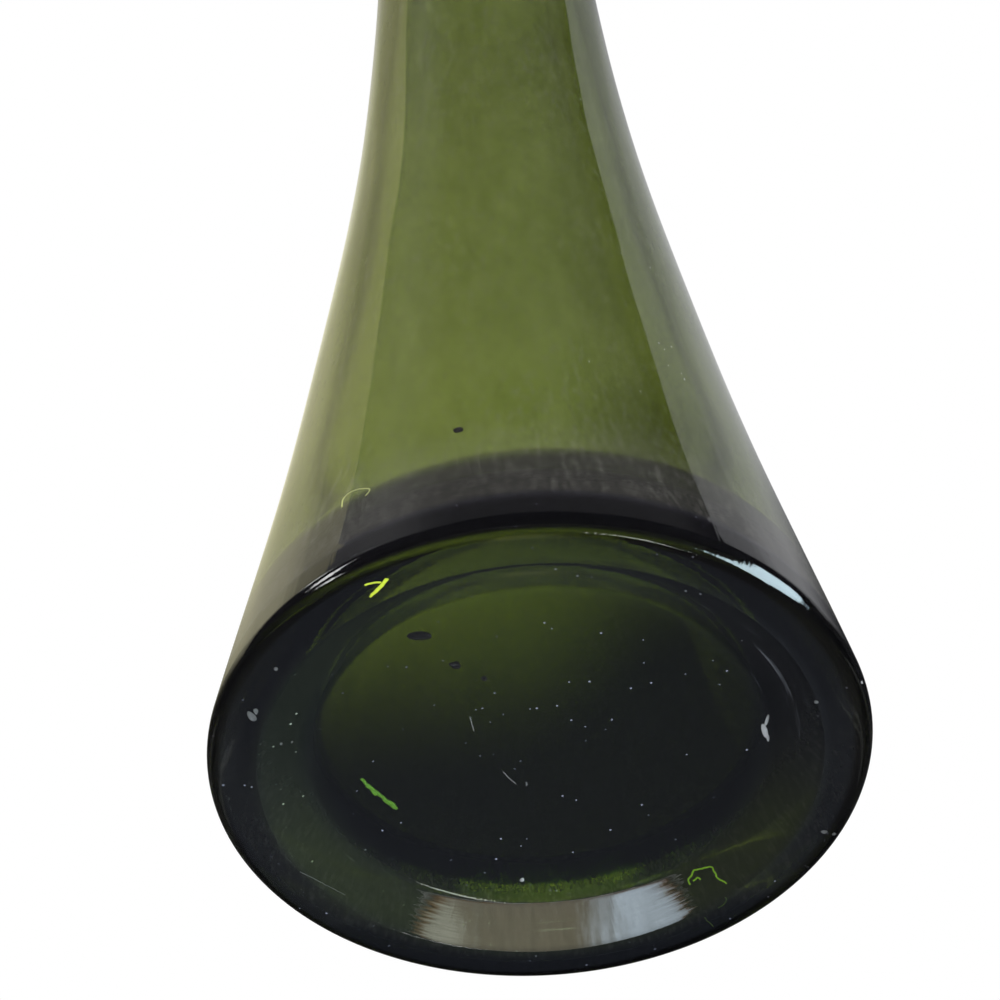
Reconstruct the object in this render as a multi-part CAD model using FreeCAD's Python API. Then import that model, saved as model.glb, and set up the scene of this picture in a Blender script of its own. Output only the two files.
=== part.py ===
import FreeCAD, Part
import math
import os

# Tall glass vase, all lengths in millimetres.
# Axis of revolution along Z, ground foot on the plane z = 0, origin at the centre of the foot.
# A coloured inner glass carries the hollow; a clear outer glass is gathered thick over it,
# so that the foot is a solid clear block under the coloured floor.

# Overall sizes
height = 262.0
foot_diameter = 90.0
neck_diameter = 41.0
neck_height = 218.0
mouth_diameter = 50.0

# Foot: a small rounded heel that runs over into the leaning wall
heel_radius = 1.9
foot_lean_deg = 10.0

# Ground hollow under the foot, inside a flat ring that the vase stands on: a bevel and a shallow dome
foot_ring_inner_diameter = 76.6
foot_bevel_width = 7.0
foot_bevel_deg = 25.0
foot_dome_rise = 1.35

# Mouth: the wall leans outwards by this much where the fire-polished lip starts
mouth_lean_deg = 15.0

# Clear glass outside the coloured glass
clear_base_thickness = 13.0
clear_wall_low = 5.5
clear_wall_high = 2.6
clear_wall_mouth = 2.2

# Coloured glass
core_floor_thickness = 4.6
core_wall_low = 2.2
core_wall_high = 1.7
core_wall_mouth = 1.4
core_corner_radius = 6.0

# Outer shape between heel (0) and neck (1): share of that height, share of the narrowing still to come
taper_shares = ((0.200, 0.680), (0.420, 0.395), (0.620, 0.180), (0.820, 0.050))

# How much of the difference between low wall and high wall is left at each of those places
wall_fade_shares = (0.66, 0.33, 0.14, 0.03)

# Dark unmelted grains in the clear glass: the largest one, and the glass left over each of them
largest_grain_diameter = 3.0
grain_cover = 0.5
# share of the largest grain, share of the core corner's radius, angle round the axis in degrees
floor_grain_shares = ((1.0, 0.660, 231.0), (0.53, 0.460, 230.0), (0.30, 0.332, 236.0))
# share of the largest grain, share of the way up to the first wall station, angle round the axis
wall_grain_share = 0.5
wall_grain_height_share = 0.57
wall_grain_angle_deg = 257.0

AXIS = FreeCAD.Vector(0, 0, 1)


def at(radius, z):
    """A point of the profile, in the half plane y = 0."""
    return FreeCAD.Vector(radius, 0, z)


def leaning(degrees):
    """Direction up a wall that leans outwards by this angle."""
    angle = math.radians(degrees)
    return at(math.sin(angle), math.cos(angle))


def square_to(direction):
    """Direction out of a wall, square to the direction up it."""
    return at(direction.z, -direction.x)


def line(start, end):
    return Part.makeLine(start, end)


def arc(start, middle, end):
    return Part.Arc(start, middle, end).toShape()


def wall_curve(points, first_direction, last_direction):
    """One smooth curve through the points, with its direction given at both ends."""
    curve = Part.BSplineCurve()
    curve.interpolate(Points=points, InitialTangent=first_direction, FinalTangent=last_direction)
    return curve.toShape()


def revolved(edges):
    """The solid swept by a closed profile round the axis."""
    wire = Part.Wire(edges)
    face = Part.Face(wire)
    return face.revolve(FreeCAD.Vector(0, 0, 0), AXIS, 360)


# Foot hollow: a straight bevel from the ring inwards, then one arc over the axis
foot_ring_inner = foot_ring_inner_diameter / 2
foot_dome_radius = foot_ring_inner - foot_bevel_width
foot_bevel_rise = foot_bevel_width * math.tan(math.radians(foot_bevel_deg))
foot_hollow_depth = foot_bevel_rise + foot_dome_rise
foot_dome_curve = (foot_dome_radius ** 2 + foot_dome_rise ** 2) / (2 * foot_dome_rise)
foot_dome_end = at(foot_dome_radius, foot_bevel_rise)
half_way = foot_dome_radius / 2
half_way_drop = foot_dome_curve - math.sqrt(foot_dome_curve ** 2 - half_way ** 2)
foot_dome_middle = at(half_way, foot_hollow_depth - half_way_drop)

# Heel: from the ring round to the wall, which starts with the foot's lean
foot_radius = foot_diameter / 2
heel_centre = at(foot_radius - heel_radius, heel_radius)
foot_wall_direction = leaning(-foot_lean_deg)
heel_start = at(foot_radius - heel_radius, 0)
heel_end = heel_centre + square_to(foot_wall_direction) * heel_radius
heel_middle = heel_centre + leaning(135) * heel_radius

# Lip: half a circle over both layers, on a wall that leans outwards
mouth_wall = clear_wall_mouth + core_wall_mouth
lip_radius = mouth_wall / 2
mouth_direction = leaning(mouth_lean_deg)
mouth_outward = square_to(mouth_direction)
lip_centre = at(mouth_diameter / 2 - lip_radius, height - lip_radius)
lip_outer = lip_centre + mouth_outward * lip_radius
lip_inner = lip_centre - mouth_outward * lip_radius
# The layers meet on the lip at the clear wall's depth below the outer face
seam_offset = lip_radius - clear_wall_mouth
seam_rise = math.sqrt(lip_radius ** 2 - seam_offset ** 2)
lip_seam = lip_centre + mouth_outward * seam_offset + mouth_direction * seam_rise


def lip_point(across):
    """A point of the lip's circle, at this offset across the wall."""
    rise = math.sqrt(lip_radius ** 2 - across ** 2)
    return lip_centre + mouth_outward * across + mouth_direction * rise


# Wall stations from the foot to the neck
neck_radius = neck_diameter / 2
wall_span = neck_height - heel_end.z
narrowing = heel_end.x - neck_radius
stations = []
for (height_share, taper_share), fade_share in zip(taper_shares, wall_fade_shares):
    station = {
        "z": heel_end.z + wall_span * height_share,
        "outer": neck_radius + narrowing * taper_share,
        "clear": clear_wall_high + (clear_wall_low - clear_wall_high) * fade_share,
        "core": core_wall_high + (core_wall_low - core_wall_high) * fade_share,
    }
    stations.append(station)
stations.append({"z": neck_height, "outer": neck_radius, "clear": clear_wall_high, "core": core_wall_high})

outer_points = [heel_end] + [at(s["outer"], s["z"]) for s in stations] + [lip_outer]
outer_wall = wall_curve(outer_points, foot_wall_direction, mouth_direction)

# Coloured core: a flat floor, a round corner that ends with the foot's lean, and a wall that follows
# the outer shape
lean_slope = math.tan(math.radians(foot_lean_deg))
wall_outward = square_to(foot_wall_direction)


def corner_centre_under(floor_z, radius, wall_depth):
    """Centre of a corner whose arc ends this far, level, inside the outer wall."""
    end_z = floor_z + radius + wall_outward.z * radius
    end_radius = heel_end.x - lean_slope * (end_z - heel_end.z) - wall_depth
    return at(end_radius - wall_outward.x * radius, floor_z + radius)


corner_middle_direction = leaning(135)
core_corner_centre = corner_centre_under(clear_base_thickness, core_corner_radius, clear_wall_low)
core_floor_radius = core_corner_centre.x
core_corner_outer = core_floor_radius + core_corner_radius
core_points = [core_corner_centre + wall_outward * core_corner_radius]
core_points += [at(s["outer"] - s["clear"], s["z"]) for s in stations]
core_points += [lip_seam]
core_wall = wall_curve(core_points, foot_wall_direction, mouth_direction)
core_floor = line(at(0, clear_base_thickness), at(core_floor_radius, clear_base_thickness))
core_corner = arc(
    at(core_floor_radius, clear_base_thickness),
    core_corner_centre + corner_middle_direction * core_corner_radius,
    core_points[0],
)

# Hollow inside the core
hollow_corner_radius = core_corner_radius - core_wall_low
hollow_floor = clear_base_thickness + core_floor_thickness
hollow_corner_centre = corner_centre_under(hollow_floor, hollow_corner_radius, clear_wall_low + core_wall_low)
hollow_floor_radius = hollow_corner_centre.x
hollow_points = [hollow_corner_centre + wall_outward * hollow_corner_radius]
hollow_points += [at(s["outer"] - s["clear"] - s["core"], s["z"]) for s in stations]
hollow_points += [lip_inner]
hollow_wall = wall_curve(hollow_points, foot_wall_direction, mouth_direction)
hollow_corner = arc(
    hollow_points[0],
    hollow_corner_centre + corner_middle_direction * hollow_corner_radius,
    at(hollow_floor_radius, hollow_floor),
)


def make_clear_casing():
    """Thick clear foot, heel, outer wall and the outer part of the lip."""
    edges = [
        arc(at(0, foot_hollow_depth), foot_dome_middle, foot_dome_end),
        line(foot_dome_end, at(foot_ring_inner, 0)),
        line(at(foot_ring_inner, 0), heel_start),
        arc(heel_start, heel_middle, heel_end),
        outer_wall,
        arc(lip_outer, lip_point((lip_radius + seam_offset) / 2), lip_seam),
        core_wall,
        core_corner,
        core_floor,
        line(at(0, clear_base_thickness), at(0, foot_hollow_depth)),
    ]
    return revolved(edges)


def make_green_core():
    """Coloured inner glass from its floor up to the inner part of the lip."""
    edges = [
        core_floor,
        core_corner,
        core_wall,
        arc(lip_seam, lip_point((seam_offset - lip_radius) / 2), lip_inner),
        hollow_wall,
        hollow_corner,
        line(at(hollow_floor_radius, hollow_floor), at(0, hollow_floor)),
        line(at(0, hollow_floor), at(0, clear_base_thickness)),
    ]
    return revolved(edges)


def make_grains():
    """Grains just under the coloured floor, and one inside the clear wall."""
    grains = []
    for grain_share, radius_share, angle_deg in floor_grain_shares:
        diameter = largest_grain_diameter * grain_share
        angle = math.radians(angle_deg)
        away = core_corner_outer * radius_share
        depth = clear_base_thickness - grain_cover - diameter / 2
        centre = FreeCAD.Vector(away * math.cos(angle), away * math.sin(angle), depth)
        grains.append(Part.makeSphere(diameter / 2, centre))
    rise = (stations[0]["z"] - heel_end.z) * wall_grain_height_share
    angle = math.radians(wall_grain_angle_deg)
    away = heel_end.x - lean_slope * rise - clear_wall_low / 2
    centre = FreeCAD.Vector(away * math.cos(angle), away * math.sin(angle), heel_end.z + rise)
    grains.append(Part.makeSphere(largest_grain_diameter * wall_grain_share / 2, centre))
    return Part.makeCompound(grains)


grains = make_grains()
pieces = {
    "clear_casing": make_clear_casing().cut(grains),
    "green_core": make_green_core(),
    "stone_grains": grains,
}

os.makedirs("parts", exist_ok=True)
for name, shape in pieces.items():
    shape.exportStep("parts/" + name + ".step")
    box = shape.BoundBox
    print(name, "solids", len(shape.Solids), "valid", shape.isValid(), "volume", round(shape.Volume, 1),
          "z", round(box.ZMin, 2), round(box.ZMax, 2), "x", round(box.XMin, 2), round(box.XMax, 2))
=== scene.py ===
# %% [markdown]
# # A cased glass vase
# The vase is two layers of glass: a green inner glass that holds the water, and a thick clear glass
# gathered over it. The photograph looks up at its ground foot, so nearly all that is seen is light bent
# and reflected by clear glass. That can't be painted on: the shapes have to bend it as the real ones do.

# %% Load the frame
import math
import random

import bpy
from mathutils import Matrix, Vector


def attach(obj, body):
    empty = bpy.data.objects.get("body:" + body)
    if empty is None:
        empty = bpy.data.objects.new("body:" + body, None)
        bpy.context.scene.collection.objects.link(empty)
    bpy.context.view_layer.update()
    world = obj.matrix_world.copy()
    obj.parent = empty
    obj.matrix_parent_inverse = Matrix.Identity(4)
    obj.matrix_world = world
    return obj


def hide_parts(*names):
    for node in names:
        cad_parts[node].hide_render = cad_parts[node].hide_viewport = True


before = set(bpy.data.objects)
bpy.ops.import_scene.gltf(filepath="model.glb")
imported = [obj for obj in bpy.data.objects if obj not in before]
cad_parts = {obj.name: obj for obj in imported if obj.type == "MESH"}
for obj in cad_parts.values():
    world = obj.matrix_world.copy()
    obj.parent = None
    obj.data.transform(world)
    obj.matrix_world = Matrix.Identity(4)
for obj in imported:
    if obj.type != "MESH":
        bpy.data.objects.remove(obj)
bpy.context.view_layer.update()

# %% [markdown]
# Shader and geometry trees are easier to read as sums than as lists of links. `Value` wraps a socket and
# overloads the operators, and `Tree.make` adds any other node: its settings first, then its sockets.


# %% A small language for node trees
class Value:
    """A socket that can be added to, subtracted from and multiplied."""

    def __init__(self, tree, node, output=0):
        self.tree = tree
        self.node = node
        self.socket = node.outputs[output] if node.outputs else None

    def out(self, name):
        """Another output of the same node."""
        return Value(self.tree, self.node, name)

    def maths(self, operation, *others, clamp=False):
        inputs = dict(enumerate((self,) + others))
        return self.tree.make("ShaderNodeMath", {"operation": operation, "use_clamp": clamp}, inputs)

    def __add__(self, other):
        return self.maths("ADD", other)

    def __sub__(self, other):
        return self.maths("SUBTRACT", other)

    def __mul__(self, other):
        return self.maths("MULTIPLY", other)

    def __rsub__(self, other):
        return self * -1.0 + other

    def at_least(self, count):
        """1 where a counted value has reached the count, else 0."""
        return self.maths("GREATER_THAN", count - 0.5)

    def fewer_than(self, count):
        return self.maths("LESS_THAN", count - 0.5)

    def clamped(self):
        return self.maths("ADD", 0.0, clamp=True)


class Tree:
    """A node tree that grows by one call for each node."""

    def __init__(self, tree):
        self.tree = tree

    def make(self, kind, settings=None, inputs=None, output=0):
        node = self.tree.nodes.new(kind)
        for name, setting in (settings or {}).items():
            setattr(node, name, setting)
        for key, value in (inputs or {}).items():
            if isinstance(value, Value):
                self.tree.links.new(value.socket, node.inputs[key])
            else:
                node.inputs[key].default_value = value
        return Value(self, node, output)

    def step(self, value, low, high):
        """A soft step: 0 below low, 1 above high."""
        settings = {"interpolation_type": "SMOOTHSTEP", "clamp": True}
        inputs = {"Value": value, "From Min": low, "From Max": high, "To Min": 0.0, "To Max": 1.0}
        return self.make("ShaderNodeMapRange", settings, inputs)

    def fall(self, value, low, high):
        """The reverse of a soft step: 1 below low, 0 above high."""
        return 1.0 - self.step(value, low, high)

    def band(self, value, start, full, leave, end):
        """1 from full to leave, 0 outside start and end."""
        return self.step(value, start, full) * self.fall(value, leave, end)

    def mix(self, factor, first, second):
        """A colour between two colours."""
        inputs = {"Factor": factor, 6: first, 7: second}
        return self.make("ShaderNodeMix", {"data_type": "RGBA"}, inputs, 2)

    def noise(self, place, scale, detail=2.0, roughness=0.5):
        inputs = {"Vector": place, "Scale": scale, "Detail": detail, "Roughness": roughness}
        return self.make("ShaderNodeTexNoise", {}, inputs)

    def split(self, vector):
        """The three numbers of a vector."""
        parts = self.make("ShaderNodeSeparateXYZ", {}, {0: vector})
        return parts, parts.out("Y"), parts.out("Z")

    def combine(self, x, y, z=0.0):
        """A vector of three numbers."""
        return self.make("ShaderNodeCombineXYZ", {}, {"X": x, "Y": y, "Z": z})

    def scaled(self, vector, factor):
        return self.make("ShaderNodeVectorMath", {"operation": "SCALE"}, {0: vector, 3: factor})

    def object_place(self):
        """The place on the piece, in metres."""
        return self.make("ShaderNodeTexCoord").out("Object")

    def mixed_shader(self, factor, first, second):
        return self.make("ShaderNodeMixShader", {}, {0: factor, 1: first, 2: second})

    def end_material(self, surface):
        self.make("ShaderNodeOutputMaterial", {}, {"Surface": surface})


print("node helpers ready")

# %% [markdown]
# The vase is a body of revolution, so its whole shape is a few curves in the half plane right of its
# axis. The same sizes as in the CAD source draw them here again, only finer: one smooth curve through
# given stations for each face of the two glasses, with the direction fixed at both ends.

# %% Sizes of the glass, in metres
MM = 0.001
HEIGHT = 262.0 * MM
FOOT_RADIUS = 45.0 * MM
HEEL_RADIUS = 1.9 * MM
RING_RADIUS = 38.3 * MM
BEVEL_WIDTH = 7.0 * MM
BEVEL_LEAN = math.radians(25.0)
DOME_RISE = 1.35 * MM
DOME_BLEND = 0.25 * MM
FOOT_LEAN = math.radians(-10.0)
MOUTH_LEAN = math.radians(15.0)
NECK_RADIUS = 20.5 * MM
NECK_HEIGHT = 218.0 * MM
MOUTH_RADIUS = 25.0 * MM
CLEAR_BASE = 13.0 * MM
CLEAR_LOW, CLEAR_HIGH, CLEAR_MOUTH = 5.5 * MM, 2.6 * MM, 2.2 * MM
CORE_FLOOR = 4.6 * MM
CORE_LOW, CORE_HIGH, CORE_MOUTH = 2.2 * MM, 1.7 * MM, 1.4 * MM
CORE_CORNER = 6.0 * MM
TAPER_SHARES = ((0.200, 0.680), (0.420, 0.395), (0.620, 0.180), (0.820, 0.050))
FADE_SHARES = (0.66, 0.33, 0.14, 0.03)
# The green layer stops this far short of the hollow, so that light meets the two faces in order
LAYER_GAP = 0.03 * MM
GLASS_IOR = 1.5


# %% Curves in the half plane: x is the distance from the axis, y the height
def leaning(angle):
    return Vector((math.sin(angle), math.cos(angle)))


def square_to(direction):
    return Vector((direction.y, -direction.x))


def straight(start, end, steps):
    return [start.lerp(end, k / steps) for k in range(steps + 1)]


def round_arc(centre, radius, start_deg, end_deg, steps):
    points = []
    for k in range(steps + 1):
        angle = math.radians(start_deg + (end_deg - start_deg) * k / steps)
        points.append(centre + radius * Vector((math.cos(angle), math.sin(angle))))
    return points


def smooth_wall(points, first, last, steps):
    """A cubic spline through the points, by the length of its chords, with both end directions given."""
    count = len(points)
    times = [0.0]
    for start, end in zip(points, points[1:]):
        times.append(times[-1] + (end - start).length)
    low = [0.0] * count
    middle = [1.0] * count
    high = [0.0] * count
    slopes = [first.normalized()] + [Vector((0, 0))] * (count - 2) + [last.normalized()]
    for i in range(1, count - 1):
        before, after = times[i] - times[i - 1], times[i + 1] - times[i]
        low[i], middle[i], high[i] = after, 2 * (before + after), before
        rise_before = after * (points[i] - points[i - 1]) / before
        rise_after = before * (points[i + 1] - points[i]) / after
        slopes[i] = 3 * (rise_before + rise_after)
    for i in range(1, count):
        share = low[i] / middle[i - 1]
        middle[i] -= share * high[i - 1]
        slopes[i] = slopes[i] - share * slopes[i - 1]
    slopes[-1] = slopes[-1] / middle[-1]
    for i in range(count - 2, -1, -1):
        slopes[i] = (slopes[i] - high[i] * slopes[i + 1]) / middle[i]
    curve = []
    for k in range(steps + 1):
        time = times[-1] * k / steps
        i = 0
        while i < count - 2 and time > times[i + 1]:
            i += 1
        span = times[i + 1] - times[i]
        u = (time - times[i]) / span
        at_start = (2 * u ** 3 - 3 * u ** 2 + 1) * points[i] + (u ** 3 - 2 * u ** 2 + u) * span * slopes[i]
        at_end = (3 * u ** 2 - 2 * u ** 3) * points[i + 1] + (u ** 3 - u ** 2) * span * slopes[i + 1]
        curve.append(at_start + at_end)
    return curve


# %% [markdown]
# First the foot. The ground hollow is a shallow dome inside a steep bevel, and the bevel meets the flat
# ring that the vase stands on at a clear edge. Only light that enters at the bevel is bent enough to
# leave through the far wall, which is what makes the bright crescent in the photograph.

# %% The foot and the heel
dome_radius = RING_RADIUS - BEVEL_WIDTH
bevel_rise = BEVEL_WIDTH * math.tan(BEVEL_LEAN)
dome_curve = (dome_radius ** 2 + DOME_RISE ** 2) / (2 * DOME_RISE)
dome_centre = bevel_rise + DOME_RISE - dome_curve


def foot_height(radius):
    """Height of the ground face at this distance from the axis, with the kink at the bevel eased."""
    if radius >= RING_RADIUS:
        return 0.0
    bevel = (RING_RADIUS - radius) * math.tan(BEVEL_LEAN)
    dome = dome_centre + math.sqrt(dome_curve ** 2 - radius ** 2)
    eased = max(DOME_BLEND - abs(bevel - dome), 0.0) ** 2 / (4 * DOME_BLEND)
    return min(bevel, dome) - eased


# The ground face has few points on the plain dome, and many from there to the ring
DOME_POINTS, BEVEL_POINTS, RING_POINTS = 30, 70, 12
RING_STEP = 0.1 * MM
plain_dome = dome_radius * 0.9
face_radii = [plain_dome * k / DOME_POINTS for k in range(DOME_POINTS)]
face_radii += [plain_dome + (RING_RADIUS - plain_dome) * k / BEVEL_POINTS for k in range(BEVEL_POINTS + 1)]
foot_face = [Vector((radius, foot_height(radius))) for radius in face_radii]
ring_start = Vector((RING_RADIUS + RING_STEP, 0))
foot_face += straight(ring_start, Vector((FOOT_RADIUS - HEEL_RADIUS, 0)), RING_POINTS)
heel_centre = Vector((FOOT_RADIUS - HEEL_RADIUS, HEEL_RADIUS))
LEAN_DEG = math.degrees(-FOOT_LEAN)
HEEL_STEPS = 26
heel = round_arc(heel_centre, HEEL_RADIUS, -90.0, LEAN_DEG, HEEL_STEPS)
print("hollow under the foot:", round(foot_height(0) / MM, 1), "mm deep, of which the bevel is",
      round(bevel_rise / MM, 1), "mm")

# %% The lip and the stations of the wall
mouth_wall = CLEAR_MOUTH + CORE_MOUTH
lip_radius = mouth_wall / 2
lip_centre = Vector((MOUTH_RADIUS - lip_radius, HEIGHT - lip_radius))
mouth_direction = leaning(MOUTH_LEAN)
mouth_outward = square_to(mouth_direction)
lip_outer = lip_centre + mouth_outward * lip_radius
lip_inner = lip_centre - mouth_outward * lip_radius
seam_offset = lip_radius - CLEAR_MOUTH
lip_seam = lip_centre + mouth_outward * seam_offset
lip_seam += mouth_direction * math.sqrt(lip_radius ** 2 - seam_offset ** 2)
heel_end = heel[-1]
stations = []
for (height_share, taper_share), fade in zip(TAPER_SHARES, FADE_SHARES):
    z = heel_end.y + (NECK_HEIGHT - heel_end.y) * height_share
    radius = NECK_RADIUS + (heel_end.x - NECK_RADIUS) * taper_share
    clear = CLEAR_HIGH + (CLEAR_LOW - CLEAR_HIGH) * fade
    core = CORE_HIGH + (CORE_LOW - CORE_HIGH) * fade
    stations.append((z, radius, clear, core))
stations.append((NECK_HEIGHT, NECK_RADIUS, CLEAR_HIGH, CORE_HIGH))
print("wall stations:", [(round(z / MM), round(r / MM, 1)) for z, r, clear, core in stations])

# %% The three walls: outside, between the glasses, and round the hollow
OUTER_STEPS, INNER_STEPS = 150, 130
outer_wall = smooth_wall([heel_end] + [Vector((r, z)) for z, r, clear, core in stations] + [lip_outer],
                         leaning(FOOT_LEAN), mouth_direction, OUTER_STEPS)
wall_outward = square_to(leaning(FOOT_LEAN))


def corner_centre_under(floor, radius, depth):
    """Centre of a corner whose arc ends this far, level, inside the outer wall."""
    end_height = floor + radius + wall_outward.y * radius
    end_radius = heel_end.x + math.tan(FOOT_LEAN) * (end_height - heel_end.y) - depth
    return Vector((end_radius - wall_outward.x * radius, floor + radius))


core_centre = corner_centre_under(CLEAR_BASE, CORE_CORNER, CLEAR_LOW)
core_flat = core_centre.x
core_wall = smooth_wall([core_centre + wall_outward * CORE_CORNER]
                        + [Vector((r - clear, z)) for z, r, clear, core in stations] + [lip_seam],
                        leaning(FOOT_LEAN), mouth_direction, INNER_STEPS)
hollow_corner = CORE_CORNER - CORE_LOW
hollow_floor = CLEAR_BASE + CORE_FLOOR
inner_centre = corner_centre_under(hollow_floor, hollow_corner, CLEAR_LOW + CORE_LOW)
hollow_flat = inner_centre.x
hollow_wall = smooth_wall([inner_centre + wall_outward * hollow_corner]
                          + [Vector((r - clear - core, z)) for z, r, clear, core in stations] + [lip_inner],
                          leaning(FOOT_LEAN), mouth_direction, INNER_STEPS)
print("green floor", round(core_flat / MM, 1), "mm in radius, corner of", round(CORE_CORNER / MM, 1), "mm")

# %% [markdown]
# Two closed outlines follow from these curves. The first is every face where glass meets air: foot,
# heel, outside, lip and the hollow down to its floor. The second is the green layer, which lies inside
# the first one. A ray then enters clear glass, is only tinted on its way through the green, and leaves.

# %% The two closed outlines
CORNER_STEPS, FLOOR_STEPS, LAYER_LIP_STEPS = 24, 16, 16
lip_start = math.degrees(math.atan2(mouth_outward.y, mouth_outward.x))
seam_at = math.degrees(math.atan2(lip_seam.y - lip_centre.y, lip_seam.x - lip_centre.x))
lip = round_arc(lip_centre, lip_radius, lip_start, lip_start + 180.0, CORNER_STEPS)
inner_corner = round_arc(inner_centre, hollow_corner, LEAN_DEG, -90.0, CORNER_STEPS)
inner_floor = straight(Vector((hollow_flat, hollow_floor)), Vector((0, hollow_floor)), FLOOR_STEPS)
glass_outline = foot_face + heel + outer_wall + lip + hollow_wall[::-1] + inner_corner + inner_floor

layer_floor = straight(Vector((0, CLEAR_BASE)), Vector((core_flat, CLEAR_BASE)), FLOOR_STEPS)
layer_corner = round_arc(core_centre, CORE_CORNER, -90.0, LEAN_DEG, CORNER_STEPS)
layer_lip = round_arc(lip_centre, lip_radius - LAYER_GAP, seam_at, lip_start + 180.0, LAYER_LIP_STEPS)
layer_hollow = [p + Vector((LAYER_GAP, 0)) for p in hollow_wall[::-1][1:]]
layer_inner_corner = round_arc(inner_centre, hollow_corner + LAYER_GAP, LEAN_DEG, -90.0, CORNER_STEPS)
layer_height = hollow_floor - LAYER_GAP
layer_top = straight(Vector((hollow_flat, layer_height)), Vector((0, layer_height)), FLOOR_STEPS)
layer_outline = (layer_floor + layer_corner + core_wall[:-1] + layer_lip + layer_hollow
                 + layer_inner_corner + layer_top)
print("outlines:", len(glass_outline), "and", len(layer_outline), "points")


# %% [markdown]
# Spin would turn an outline into a surface in one call. Geometry Nodes say the rule itself, though: a
# grid with one row for each point of the outline and one column for each step round, rolled up about the
# axis. The same tree can then push the wall in and out by a slow noise, because hand-shaped glass is
# never quite round, and it is used for both glasses, so that they stay parallel.

# %% A tree that turns an outline into a body of revolution
# Points of an outline that are closer than this are one point
SAME_POINT = 0.002 * MM
# The waves: units of noise in a metre up the wall, the height over which they grow, and the still middle
WAVE_UNITS_UP = 14.0
WAVE_GROWTH = 50.0 * MM
STILL_AXIS = 4.0 * MM
# The ripples are longer up the wall than round it
RIPPLE_STRETCH = 0.3


def object_in_scene(name, data):
    piece = bpy.data.objects.new(name, data)
    bpy.context.scene.collection.objects.link(piece)
    return piece


def outline_object(name, outline, rippled):
    """A mesh of points only, without doubles. Its y holds each point's share of the ripples: 1 or 0."""
    points = [(outline[0], 0.0)]
    for k, point in enumerate(outline[1:], 1):
        if (point - points[-1][0]).length > SAME_POINT:
            points.append((point, 1.0 if k in rippled else 0.0))
    mesh = bpy.data.meshes.new(name)
    mesh.from_pydata([(p.x, share, p.y) for p, share in points], [], [])
    return object_in_scene(name, mesh)


def new_geometry_tree(name, sockets):
    """An empty tree with these inputs, and the identifier of each."""
    tree = bpy.data.node_groups.new(name, "GeometryNodeTree")
    identifiers = {}
    tree.interface.new_socket("Geometry", in_out="INPUT", socket_type="NodeSocketGeometry")
    tree.interface.new_socket("Geometry", in_out="OUTPUT", socket_type="NodeSocketGeometry")
    for socket_name, kind in sockets:
        socket = tree.interface.new_socket(socket_name, in_out="INPUT", socket_type="NodeSocket" + kind)
        identifiers[socket_name] = socket.identifier
    return Tree(tree), identifiers


def end_geometry_tree(g, given, body):
    """Each tree ends with smooth faces, no instances, and the material."""
    body = g.make("GeometryNodeSetShadeSmooth", {}, {"Geometry": body})
    body = g.make("GeometryNodeRealizeInstances", {}, {"Geometry": body})
    body = g.make("GeometryNodeSetMaterial", {}, {"Geometry": body, "Material": given.out("Material")})
    g.make("NodeGroupOutput", {}, {"Geometry": body})


def rolled_up_tree():
    g, identifiers = new_geometry_tree("rolled up outline", (
        ("Outline Points", "Int"), ("Steps Round", "Int"), ("Waviness", "Float"), ("Wave Scale", "Float"),
        ("Quiet Below", "Float"), ("Ripple", "Float"), ("Ripple Scale", "Float"), ("Material", "Material")))
    given = g.make("NodeGroupInput")
    rows, columns = given.out("Outline Points"), given.out("Steps Round")
    grid = g.make("GeometryNodeMeshGrid", {}, {"Size X": 1.0, "Size Y": 1.0, "Vertices X": rows,
                                              "Vertices Y": columns + 1.0})
    along, across = g.split(g.make("GeometryNodeInputPosition"))[:2]
    row = ((along + 0.5) * (rows - 1.0)).maths("ROUND")
    place = g.make("GeometryNodeInputPosition")
    sampled = g.make("GeometryNodeSampleIndex", {"data_type": "FLOAT_VECTOR", "domain": "POINT"},
                     {"Geometry": given, "Value": place, "Index": row})
    radius, ripple_share, level = g.split(sampled)
    turn = (across + 0.5) * (2 * math.pi)
    cosine, sine = turn.maths("COSINE"), turn.maths("SINE")
    wave = g.noise(g.combine(cosine, sine, level * WAVE_UNITS_UP), given.out("Wave Scale"), 1.0)
    quiet = g.step(level, given.out("Quiet Below"), given.out("Quiet Below") + WAVE_GROWTH)
    wavy = radius + (wave - 0.5) * quiet * given.out("Waviness") * g.step(radius, 0.0, STILL_AXIS)
    ripple_place = g.combine(cosine * radius, sine * radius, level * RIPPLE_STRETCH)
    ripple = g.noise(ripple_place, given.out("Ripple Scale"), 3.0, 0.8)
    wavy = wavy + (ripple - 0.5) * ripple_share * given.out("Ripple")
    rolled = g.combine(wavy * cosine, wavy * sine, level)
    body = g.make("GeometryNodeSetPosition", {}, {"Geometry": grid, "Position": rolled})
    body = g.make("GeometryNodeMergeByDistance", {}, {"Geometry": body, "Distance": SAME_POINT / 2})
    end_geometry_tree(g, given, body)
    return g.tree, identifiers


ROLLED_UP, ROLLED_UP_INPUTS = rolled_up_tree()
print("inputs of the tree:", list(ROLLED_UP_INPUTS))


# %% Run a tree on an object and keep the result as a plain mesh
def made_plain(source, tree, identifiers, values, name):
    """Evaluates the tree on the source, keeps the result under a name, and removes the source."""
    modifier = source.modifiers.new("made", "NODES")
    modifier.node_group = tree
    for key, value in values.items():
        modifier[identifiers[key]] = value
    evaluated = source.evaluated_get(bpy.context.evaluated_depsgraph_get())
    mesh = bpy.data.meshes.new_from_object(evaluated)
    mesh.name = name
    source.modifiers.remove(modifier)
    bpy.data.objects.remove(source)
    return object_in_scene(name, mesh)


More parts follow.
